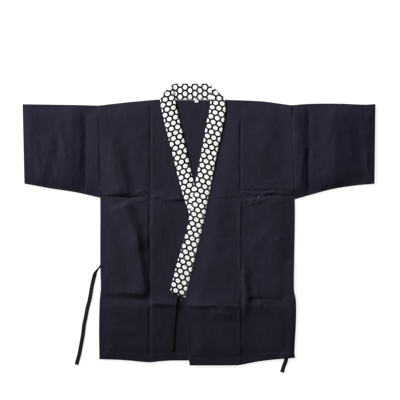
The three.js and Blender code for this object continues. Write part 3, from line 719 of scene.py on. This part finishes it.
def seamed(top, side_distance, shoulder_distance, y):
    """The side and shoulder seams roll right down, and the armhole's seam is only a shallow groove."""
    top = rolled(top, side_distance, mix(seam_low, top - 0.05, smooth((y - underarm + 6) / 12)))
    return rolled(top, shoulder_distance)


def hem_step(row):
    """The turned-up hem is thicker, and its stitching pulls a shallow groove."""
    groove_depth, turn_depth = 0.45, 0.5
    from_hem = row - hem_row
    groove = groove_depth * max(0, 1 - abs(from_hem - hem_depth + 1) / 2.5)
    turn = turn_depth * max(0, 1 - from_hem / 2) ** 2
    return hem_rise * (1 - smooth((from_hem - hem_depth + 2) / 3)) - groove - turn


def right_front_top(x, y, row):
    side, edge = along(right_side, y), along(right_front_edge, y)
    covered = min(covered_from(y), edge)
    inward = min(from_side(x - side, y), 0.45 * (covered - x), y - hem_row, shoulder_row + 10 - y)
    lift, wear_and_highlight = drape(x, y, inward) if x < covered else (0, 0)
    lift *= smooth((covered - x) / 12)
    rise = hem_step(row) * smooth((covered - 6 - x) / 10)
    top = 2 * cloth + gap + lift + rise
    top = seamed(top, x - side, to_shoulder(right_shoulder, x, y), y)
    return top, wear_and_highlight * smooth((covered - x) / 3)


def right_front_columns(y):
    side = along(right_side, y)
    edge = along(right_front_edge, y) - 2 * gap
    near = [0, 0.5, 1.1, 1.9]
    return (
        [side + n for n in near]
        + [mix(side + 3, right_crease, s) for s in spread_shares(42, last_fine=True)[:-1]]
        + [mix(right_crease, edge, s) for s in spread_shares(46, first_fine=True)]
    )


mesh = panel(
    right_front_columns, lambda x: along(right_shoulder, x), lambda x: along(right_hem, x), right_front_top,
    body_rows,
)
right_front = finish_cloth("right_front", mesh, front_cloth, navy_material, "front_right")

# Left front. The same panel for the other side. It laps over the right front and the right band, and below
# the band's end its front edge is turned under and stitched.
left_hem = [
    (-28, -404.8), (50, -404.8), (110, -404.4), (124, -402.6), (160, -395.3), (204, -389.5), (276.5, -383),
]
right_band_free = [
    (-200, 72), (-116, 54), (-33, 32), (40, 12), (95, -6.5), (129, -17), (208, -34.5), (292, -54),
    (338, -65), (358, -69),
]
band_cloth = 1.8
right_leg_end = -200
turned_below, turned_rise, turned_width = -215, 0.35, 8
right_layers_top = cloth + gap + band_cloth


def overlap_rest(x, y):
    """The left front lies on the right band, and comes down to the back over 85 mm past it."""
    past = x - (along(right_band_free, max(y, right_leg_end)) + 4)
    return mix(right_layers_top, cloth, smooth(past / 85)) + gap


def inner_tie_rest(x, y):
    """The hidden tie lies between the back and this front and holds it up a little."""
    if x < 215 or y > -100:
        return 0
    near = math.inf
    for (ax, ay, *_), (bx, by, *_) in zip(inner_tie_route, inner_tie_route[1:]):
        dx, dy = (bx - ax) * 1000, (by - ay) * 1000
        t = ((x - ax * 1000) * dx + (y - ay * 1000) * dy) / (dx * dx + dy * dy)
        t = min(1, max(0, t))
        near = min(near, math.hypot(x - ax * 1000 - t * dx, y - ay * 1000 - t * dy))
    return (cloth + 3 * gap) * (1 - smooth((near - 10.5) / 14))


def left_front_top(x, y, row):
    edge, side = along(left_front_edge, y), along(left_side, y)
    inward = min(x - edge, from_side(side - x, y), y - hem_row, shoulder_row + 10 - y)
    lift, wear_and_highlight = drape(x, y, inward)
    rest = max(overlap_rest(x, y) + lift, cloth + gap + inner_tie_rest(x, y))
    top = rest + cloth + hem_step(row)
    if y < turned_below:
        from_edge = x - edge
        rise = turned_rise * (1 - smooth((from_edge - turned_width) / 3))
        top += rise - 0.6 * max(0, 1 - from_edge / 2) ** 2
    return seamed(top, side - x, to_shoulder(left_shoulder, x, y), y), wear_and_highlight


def left_front_columns(y):
    edge = along(left_front_edge, y) + 1.5 * gap
    side = along(left_side, y)
    near = [1.9, 1.1, 0.5, 0]
    return (
        [edge, edge + 0.7, edge + 1.5]
        + [mix(edge + 2.5, left_crease, s) for s in spread_shares(44, last_fine=True)[:-1]]
        + [mix(left_crease, side - 3, s) for s in spread_shares(44, first_fine=True)]
        + [side - n for n in near]
    )


mesh = panel(
    left_front_columns, lambda x: along(left_shoulder, x), lambda x: along(left_hem, x), left_front_top,
    body_rows,
)
left_front = finish_cloth("left_front", mesh, front_cloth, navy_material, "front_left")

# Sleeves. Each is one navy panel closed to a tube by its under-arm seam and sewn in at the armhole. Pressed
# flat, its lower layer lies on the table and its upper layer on that. The cuff is turned in and stitched.
cuff_depth, cuff_rise, cuff_groove = 26, 0.7, 0.4
sleeve_low, sleeve_middle, sleeve_height = 117, 230, 229
# Shares of the way around the tube that a layer and a fold take, and where the lower layer, the top fold
# and the upper layer end
layer_share, fold_share = 0.46, 0.04
lower_end, fold_end, upper_end = 0.46, 0.5, 0.96
cuff_station = 0.87
sleeve_tables = {
    "right": {
        "top": [(-506.5, 345.7), (-427, 344.6), (-341, 343.2), (-288, 341.6)],
        "bottom": [(-501.4, 117), (-479, 113), (-428, 103.5), (-359, 93), (-284, 76.5)],
        "cuff_top": -506.5, "cuff_bottom": -501.4, "side": right_side, "crease": 0.19,
        "flat": (0.51, 0.223), "area": 0.1093,
    },
    "left": {
        "top": [(264, 342.6), (319, 346.8), (405, 347.2), (476, 344.5), (506.5, 346.3)],
        "bottom": [(275.5, 72), (319, 84.5), (382, 101), (448, 111.5), (504, 116.5)],
        "cuff_top": 506.5, "cuff_bottom": 504, "side": left_side, "crease": 0.18,
        "flat": (0.52, 0.243), "area": 0.1179,
    },
}


def sleeve_point(sleeve, station, share):
    """One place of the tube: station 0 is the armhole and 1 the cuff, share runs once around."""
    edge = cloth + gap
    direction = math.copysign(1, sleeve["cuff_top"])

    def x_at(y):
        armhole = along(sleeve["side"], y) - direction * 0.5
        cuff = mix(sleeve["cuff_bottom"], sleeve["cuff_top"], (y - sleeve_low) / sleeve_height)
        return mix(armhole, cuff, station)

    top = along(sleeve["top"], x_at(345)) - edge
    bottom = along(sleeve["bottom"], x_at(95)) + edge
    armhole_x = along(sleeve["side"], sleeve_middle)
    cuff_distance = (1 - station) * abs(x_at(sleeve_middle) - armhole_x) / max(station, 0.02)
    wear_and_highlight = 0
    if share < lower_end:
        y = mix(bottom, top, share / layer_share)
        z = 0
    elif share < fold_end:
        angle = -math.pi / 2 + math.pi * (share - lower_end) / fold_share
        y, z = top + edge * math.cos(angle), edge + edge * math.sin(angle)
    elif share < upper_end:
        y = mix(top, bottom, (share - fold_end) / layer_share)
        inward = min(y - bottom, top - y, cuff_distance + 12) + 4
        lift, wear_and_highlight = drape(x_at(y), y, inward)
        rise = cuff_rise * (1 - smooth((cuff_distance - cuff_depth + 1) / 3))
        groove = cuff_groove * max(0, 1 - abs(cuff_distance - cuff_depth + 2) / 2.5)
        seam = 0.5 * max(0, 1 - station * 240 / 28) ** 1.5
        z = 2 * edge + max(0, lift + rise - groove) - seam
    else:
        angle = math.pi / 2 + math.pi * (share - upper_end) / fold_share
        y, z = bottom + edge * math.cos(angle), edge + edge * math.sin(angle)
    return x_at(y), y, z, wear_and_highlight


def make_sleeve(name, sleeve, node):
    crease = sleeve["crease"]
    stations = (
        [0, 0.0016]
        + [mix(0.006, crease, s) for s in spread_shares(16, last_fine=True)[:-1]]
        + [mix(crease, cuff_station, s) for s in spread_shares(50, first_fine=True)[:-1]]
        + [mix(cuff_station, 1, s / 12) for s in range(13)]
    )
    around = (
        [layer_share * s / 34 for s in range(34)] + [lower_end + fold_share * s / 6 for s in range(6)]
        + [fold_end + layer_share * s / 84 for s in range(84)]
        + [upper_end + fold_share * s / 6 for s in range(7)]
    )
    mesh = bmesh.new()
    bmesh.ops.create_grid(mesh, x_segments=len(around) - 1, y_segments=len(stations) - 1, size=0.5)
    wear_and_highlight_layer = mesh.verts.layers.float.new("wear_and_highlight")
    for vert in mesh.verts:
        share = around[round((vert.co.x + 0.5) * (len(around) - 1))]
        station = stations[round((vert.co.y + 0.5) * (len(stations) - 1))]
        x, y, z, wear_and_highlight = sleeve_point(sleeve, station, share)
        vert.co = (x / 1000, y / 1000, z / 1000)
        vert[wear_and_highlight_layer] = wear_and_highlight
    bmesh.ops.remove_doubles(mesh, verts=mesh.verts[:], dist=0.00001)
    bmesh.ops.recalc_face_normals(mesh, faces=mesh.faces[:])
    top_face = max(mesh.faces, key=lambda face: face.calc_center_median().z)
    if top_face.normal.z < 0:
        bmesh.ops.reverse_faces(mesh, faces=mesh.faces[:])
    piece = finish_cloth(name, mesh, sleeve_cloth, navy_material, node)


make_sleeve("right_sleeve", sleeve_tables["right"], "sleeve_right")
make_sleeve("left_sleeve", sleeve_tables["left"], "sleeve_left")

# Collar band. White printed cotton folded double over an interlining, 45 mm wide, in three stretches: one
# down each front and one behind the neck. At each shoulder the leg folds over the neck's stretch.
print_length, print_width = 0.0285, 0.0186
band_wall = 0.0014
right_band_fold = [
    (-111.5, 362, -70, 364), (-101.5, 378, -72.5, 378), (-90, 388.5, -75.5, 390), (-79.5, 399, -77.5, 398.5),
]
left_band_fold = [
    (74.5, 362, 34.2, 364), (62.5, 374, 35.5, 376), (48, 387.5, 36.5, 389), (39.5, 400, 37.4, 399.5),
]
neck_band = [
    (-111, 358.6, 360.5), (-101, 358.2, 378), (-90, 358, 388), (-79, 358, 399.5), (-72, 358, 404.3),
    (-45, 358, 404.8), (-5, 358, 404.8), (24, 358, 404.6), (38, 358, 401.5), (48, 358, 387), (62, 358, 373.5),
    (74, 358.8, 361),
]
# Traditional tortoiseshell print: hexagons in black line, with a small grey dot in the middle of each
print_group, given, found = new_group(
    "hexagon print",
    [
        ("Vector", "NodeSocketVector", None), ("Length", "NodeSocketFloat", print_length),
        ("Width", "NodeSocketFloat", print_width), ("Line", "NodeSocketFloat", 0.2),
        ("Dot", "NodeSocketFloat", 0.16),
    ],
    [("Line", "NodeSocketFloat"), ("Dot", "NodeSocketFloat")],
)
split = new_node(print_group, "ShaderNodeSeparateXYZ", {0: given.outputs["Vector"]})
across = calc(print_group, "DIVIDE", split.outputs[0], given.outputs["Width"])
length = calc(print_group, "DIVIDE", split.outputs[1], given.outputs["Length"])
edges, dots = [], []
for shift in (0.0, 0.5):
    x = calc(print_group, "ADD", across, shift)
    y = calc(print_group, "ADD", length, shift)
    x = calc(print_group, "SUBTRACT", x, calc(print_group, "ROUND", x))
    y = calc(print_group, "SUBTRACT", y, calc(print_group, "ROUND", y))
    x = calc(print_group, "ABSOLUTE", calc(print_group, "MULTIPLY", x, math.sqrt(3)))
    y = calc(print_group, "ABSOLUTE", calc(print_group, "MULTIPLY", y, 3.0))
    slanted = calc(print_group, "MULTIPLY_ADD", x, 0.5, calc(print_group, "MULTIPLY", y, math.sqrt(3) / 2))
    hexagon = calc(print_group, "MAXIMUM", x, slanted)
    squares = calc(print_group, "MULTIPLY_ADD", x, x, calc(print_group, "MULTIPLY", y, y))
    radius = calc(print_group, "SQRT", squares)
    rounded = calc(print_group, "MULTIPLY_ADD", radius, 0.15, calc(print_group, "MULTIPLY", hexagon, 0.85))
    edges.append(rounded)
    dots.append(radius)
edge = calc(print_group, "MINIMUM", edges[0], edges[1])
from_edge = calc(print_group, "SUBTRACT", 0.9, edge)
in_line = calc(print_group, "SUBTRACT", from_edge, given.outputs["Line"])
line = ranged(print_group, in_line, -0.03, 0.03, 1.0, 0.0)
middle = calc(print_group, "MINIMUM", dots[0], dots[1])
in_dot = calc(print_group, "SUBTRACT", middle, given.outputs["Dot"])
dot = ranged(print_group, in_dot, -0.04, 0.04, 1.0, 0.0)
print_group.links.new(line, found.inputs["Line"])
print_group.links.new(dot, found.inputs["Dot"])

print_material, tree, surface = new_material("white hexagon print", 0.85, 0)
band_uv = new_node(tree, "ShaderNodeUVMap", uv_map="band").outputs[0]
wander = new_node(tree, "ShaderNodeTexNoise", {"Vector": band_uv, "Scale": 260.0, "Detail": 2.0})
drift = new_node(
    tree, "ShaderNodeVectorMath", {0: wander.outputs["Color"], 1: (0.5, 0.5, 0.5)}, operation="SUBTRACT"
)
printed_place = new_node(
    tree, "ShaderNodeVectorMath", {0: drift.outputs[0], 1: (0.0007, 0.0007, 0), 2: band_uv},
    operation="MULTIPLY_ADD",
)
pattern = new_node(
    tree, "ShaderNodeGroup",
    {
        "Vector": printed_place.outputs[0], "Length": print_length, "Width": print_width,
        "Line": 0.31, "Dot": 0.16,
    },
    node_tree=print_group,
)
weave = weave_on(tree, band_uv, 2200)
white_tone = ranged(tree, weave.outputs["Tone"], 0.6, 1.4, 0.61, 0.69)
dot_share = calc(tree, "MULTIPLY", pattern.outputs["Dot"], 0.75)
dotted = blend(tree, dot_share, white_tone, (0.16, 0.15, 0.14, 1))
lined = blend(tree, pattern.outputs["Line"], dotted, (0.003, 0.003, 0.003, 1))
tree.links.new(lined, surface.inputs["Base Color"])
add_relief(tree, surface, band_uv, weave, 70.0, 0.0008)


def band_edge(share, width):
    """The folded edges of the band are rounded, and it is a little fuller between them."""
    from_edge = min(share, 1 - share) * width
    roundness = math.sqrt(max(0, 1 - (1 - min(1, from_edge / 1.6)) ** 2))
    return 0.7 * (roundness - 1) + 0.12 * smooth(from_edge / 12)


def front_band(name, seam, free, fold, last_y, slant, sections, rest, phase, node):
    """A leg of the band, in sections from its fold at the shoulder to its square end.

    Its print lies a little askew, and drifts across the leg over some stretch of its length."""
    first_y, drift_from, print_from = 352, 45, 6.5
    late_drift, late_from, late_over = 3.4, 280, 150
    shift, skew, drift, drift_over = phase
    fine = []
    for p, q in zip(fold[:0:-1], fold[-2::-1]):
        fine += [tuple(mix(a, b, k / 4) for a, b in zip(p, q)) for k in range(4)]
    fine.append(fold[0])
    for i in range(sections + 1):
        t = i / sections
        y = mix(first_y, last_y, t)
        fine.append((along(seam, y), y, along(free, y + slant * t), y + slant * t))
    middles = [Vector(((a + c) / 2, (b + d) / 2)) for a, b, c, d in fine]
    lengths = [0.0]
    for p, q in zip(middles, middles[1:]):
        lengths.append(lengths[-1] + (q - p).length)
    start, last = len(fine) - sections - 1, len(fine) - 1
    shares = [0, 0.01, 0.025, 0.045] + [mix(0.07, 0.93, s / 20) for s in range(21)] + [0.955, 0.975, 0.99, 1]
    mesh = bmesh.new()
    bmesh.ops.create_grid(mesh, x_segments=len(shares) - 1, y_segments=len(fine) - 1, size=0.5)
    uv_layer = mesh.loops.layers.uv.new("band")
    mesh.verts.ensure_lookup_table()
    uvs = {}
    for vert in mesh.verts:
        share = shares[round((vert.co.x + 0.5) * (len(shares) - 1))]
        i = round((vert.co.y + 0.5) * (len(fine) - 1))
        seam_x, seam_y, free_x, free_y = fine[i]
        x, y = mix(seam_x, free_x, share), mix(seam_y, free_y, share)
        width = math.hypot(free_x - seam_x, free_y - seam_y)
        end = 0.6 * max(0, 1 - (lengths[-1] - lengths[i]) / 1.6) ** 2
        ripple = 0.14 * noise.noise(Vector((x, y, 5)) / 16) * smooth(min(share, 1 - share) * width / 6)
        z = rest(x, y) + band_cloth + band_edge(share, width) * min(1, width / 20) + ripple - end
        vert.co = (x / 1000, y / 1000, z / 1000)
        j = max(i, start)
        ahead = (middles[min(j + 3, last)] - middles[max(j - 3, start)]).normalized()
        offset = Vector((x, y)) - middles[j]
        across = offset.y * ahead.x - offset.x * ahead.y
        down = lengths[j] - lengths[start] + print_from + offset.dot(ahead)
        uvs[vert.index] = (
            (across - shift[0] - drift * smooth((down - drift_from) / drift_over)) / 1000,
            (down - shift[1] + skew * across + late_drift * smooth((down - late_from) / late_over)) / 1000,
        )
    write_uvs(mesh, uv_layer, uvs)
    face_up(mesh)
    piece = finish_cloth(name, mesh, band_wall, print_material, node)
    return piece


def on_neck_band(y):
    return 0.6 * smooth((y - 325) / 25)


def right_band_rest(x, y):
    return cloth + gap + on_neck_band(y)


def left_band_rest(x, y):
    covered = covered_from(y)
    lift = drape(covered - 12, y, 5.4)[0] * smooth((covered + 3 - x) / 6)
    return max(overlap_rest(x, y) + on_neck_band(y), 2 * (cloth + gap) + 0.8 * lift)


right_band = front_band(
    "collar_band_right_leg", right_front_edge, right_band_free, right_band_fold, right_leg_end, 10, 150,
    right_band_rest, ((-6.6, -1.9), 0.06, -6.9, 240), "collar_band_right",
)
front_band(
    "collar_band_left_leg", left_front_edge, left_band_free, left_band_fold, -210, 15, 160, left_band_rest,
    ((3.0, -4.0), -0.09, 6.9, 430), "collar_band_left",
)


def table_at(x, column):
    return along([(row[0], row[column]) for row in neck_band], x)


print_start = (-68.6, 394.0)
mesh = bmesh.new()
bmesh.ops.create_grid(mesh, x_segments=74, y_segments=24, size=0.5)
uv_layer = mesh.loops.layers.uv.new("band")
mesh.verts.ensure_lookup_table()
uvs = {}
for vert in mesh.verts:
    share = vert.co.y + 0.5
    x = mix(neck_band[0][0], neck_band[-1][0], vert.co.x + 0.5)
    low, high = table_at(x, 1), table_at(x, 2)
    share = 0.5 - 0.5 * math.cos(math.pi * share) if high - low > 20 else share
    y = mix(low, high, share)
    z = band_cloth + band_edge(share, max(3, high - low)) * min(1, (high - low) / 20)
    z += 0.15 * noise.noise(Vector((x, y, 9)) / 16) * smooth(min(share, 1 - share) * 8)
    vert.co = (x / 1000, y / 1000, z / 1000)
    uvs[vert.index] = ((y - print_start[1]) / 1000, (x - print_start[0]) / 1000)
write_uvs(mesh, uv_layer, uvs)
face_up(mesh)
neck_stretch = finish_cloth(
    "collar_band_behind_neck", mesh, band_wall, print_material, "collar_band_neck"
)

# Neck label. A plain strip of smooth white woven tape, folded double and caught under the band's seam at
# the middle of the back.
label_sides, label_low, label_high = (-12, -2), 349.6, 357.2
label_material, tree, surface = new_material("white label tape", 0.6, 0.1)
flat_place = new_node(tree, "ShaderNodeTexCoord").outputs["Object"]
weave = weave_on(tree, flat_place, 3000)
label_tone = ranged(tree, weave.outputs["Tone"], 0.6, 1.4, 0.46, 0.56)
tree.links.new(label_tone, surface.inputs["Base Color"])
add_relief(tree, surface, flat_place, weave, 90.0, 0.0002)
mesh = bmesh.new()
bmesh.ops.create_grid(mesh, x_segments=16, y_segments=10, size=0.5)
for vert in mesh.verts:
    x, share = mix(*label_sides, vert.co.x + 0.5), vert.co.y + 0.5
    z = 2.5 - 0.5 * max(0, 1 - share / 0.2) ** 2 + 0.2 * smooth(share * 2) * (1 - share)
    vert.co = (x / 1000, mix(label_low, label_high, share) / 1000, z / 1000)
label = finish_cloth("neck_label_strip", mesh, 0.0007, label_material, "neck_label")

# Stitching. Navy thread holds down the hem, the cuffs and the left front's free edge, and white thread runs
# close to the seam edge of each of the band's legs. Each stitch is about 3 mm long.
threads = {}
for name, dark, light in (
    ("navy thread", (0.004, 0.004, 0.007, 1), (0.012, 0.012, 0.020, 1)),
    ("white thread", (0.3, 0.3, 0.3, 1), (0.6, 0.6, 0.6, 1)),
):
    threads[name], tree, surface = new_material(name, 0.6, 0.1)
    flat_place = new_node(tree, "ShaderNodeTexCoord").outputs["Object"]
    strands = new_node(tree, "ShaderNodeTexNoise", {"Vector": flat_place, "Scale": 2500.0}).outputs[0]
    tree.links.new(blend(tree, strands, dark, light), surface.inputs["Base Color"])


def stitch_row(name, places, stitch=3.0, thread="navy thread"):
    """Stitches along a line of places in millimetres, each a short round-ended bead lying on the cloth."""
    half_thread, half_height, half_share = 0.00024, 0.0002, 0.42
    mesh = bmesh.new()
    travelled = 0
    start = None
    for a, b in zip(places, places[1:]):
        a, b = Vector(a), Vector(b)
        span = (b - a).length
        if start is None:
            start = a
        travelled += span
        if travelled >= stitch:
            middle = (start + b) / 2
            run = b - start
            reach = run.length * half_share
            turn = run.to_track_quat("X", "Z").to_matrix().to_4x4()
            size = Matrix.Diagonal((reach / 1000, half_thread, half_height, 1))
            bmesh.ops.create_icosphere(
                mesh, subdivisions=1, radius=1, matrix=Matrix.Translation(middle / 1000) @ turn @ size
            )
            start = b
            travelled = 0
    finish_cloth(name, mesh, 0, threads[thread], None)


def stitch_line(first, last, at, step=0.8):
    count = int(abs(last - first) / step)
    return [at(mix(first, last, i / count)) for i in range(count + 1)]


thread_rise, white_rise = 0.05, 0.02
hem_stitch_row = hem_row + hem_depth - 1


def body_hem_place(hem, top):
    def at(x):
        y = mix(waist_row, along(hem, x), (waist_row - hem_stitch_row) / (waist_row - hem_row))
        return x, y, top(x, y, hem_stitch_row)[0] + thread_rise
    return at


def front_edge_place(y):
    x = along(left_front_edge, y) + 9.5
    return x, y, left_front_top(x, y, max(y, hem_row + 30))[0] + thread_rise


stitch_row("stitching_hem_right_front", stitch_line(-284, -42, body_hem_place(right_hem, right_front_top)))
stitch_row("stitching_hem_left_front", stitch_line(-30, 272, body_hem_place(left_hem, left_front_top)))
stitch_row("stitching_front_edge", stitch_line(-222, -380, front_edge_place))


def cuff_place(sleeve):
    station = 1 - (cuff_depth - 2) / abs(sleeve["cuff_top"] - along(sleeve["side"], sleeve_middle))

    def at(share):
        x, y, z, _ = sleeve_point(sleeve, station, share)
        return x, y, z + thread_rise
    return at


for side in ("right", "left"):
    cuff_line = stitch_line(0.505, 0.955, cuff_place(sleeve_tables[side]), 0.0016)
    stitch_row(f"stitching_cuff_{side}", cuff_line)


def band_edge_place(seam, free, rest, from_seam=2.4):
    def at(y):
        width = abs(along(free, y) - along(seam, y))
        share = from_seam / width
        x = mix(along(seam, y), along(free, y), share)
        return x, y, rest(x, y) + band_cloth + band_edge(share, width) + white_rise
    return at


for side, last_y, place in (
    ("left", -204, band_edge_place(left_front_edge, left_band_free, left_band_rest)),
    ("right", 30, band_edge_place(right_front_edge, right_band_free, right_band_rest)),
):
    band_line = stitch_line(350, last_y, place)
    stitch_row(f"stitching_{side}_band_seam", band_line, 2.8, "white thread")

low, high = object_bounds()
{"cad": [list(cad_low), list(cad_high)], "visual": [list(low), list(high)]}
